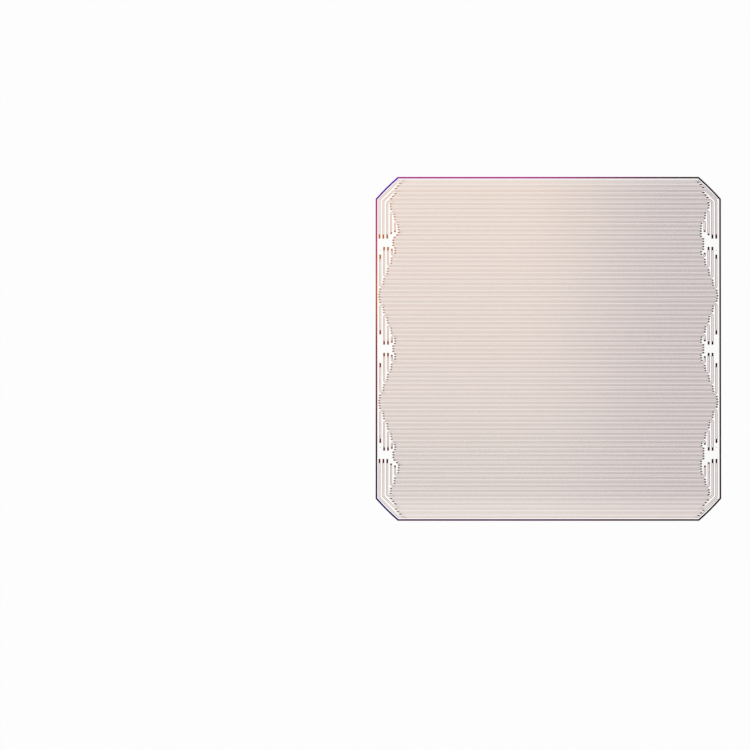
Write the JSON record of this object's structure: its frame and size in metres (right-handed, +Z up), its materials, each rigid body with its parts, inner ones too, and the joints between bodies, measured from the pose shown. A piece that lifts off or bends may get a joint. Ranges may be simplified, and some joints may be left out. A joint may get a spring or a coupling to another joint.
{
  "type": "solar cell",
  "caption": "Thin square back-contact silicon solar cell with cut corners: plain blue face to the sun, two interlocking plated contact combs and edge bond pads on the rear.",
  "frame": {"origin": "middle of the underside, which is the plain face that is turned to the sun", "axes": "+Z up out of the contact side, +X towards the edge with the negative bond pads, -X towards the edge with the positive bond pads, Y along those edges"},
  "size_m": [0.125, 0.125, 0.0002],
  "materials": {
    "silicon": "satin",
    "plating": "satin"
  },
  "bodies": {
    "root": {"wafer": "silicon", "positive_grid": "plating", "negative_grid": "plating"}
  },
  "joints": []
}
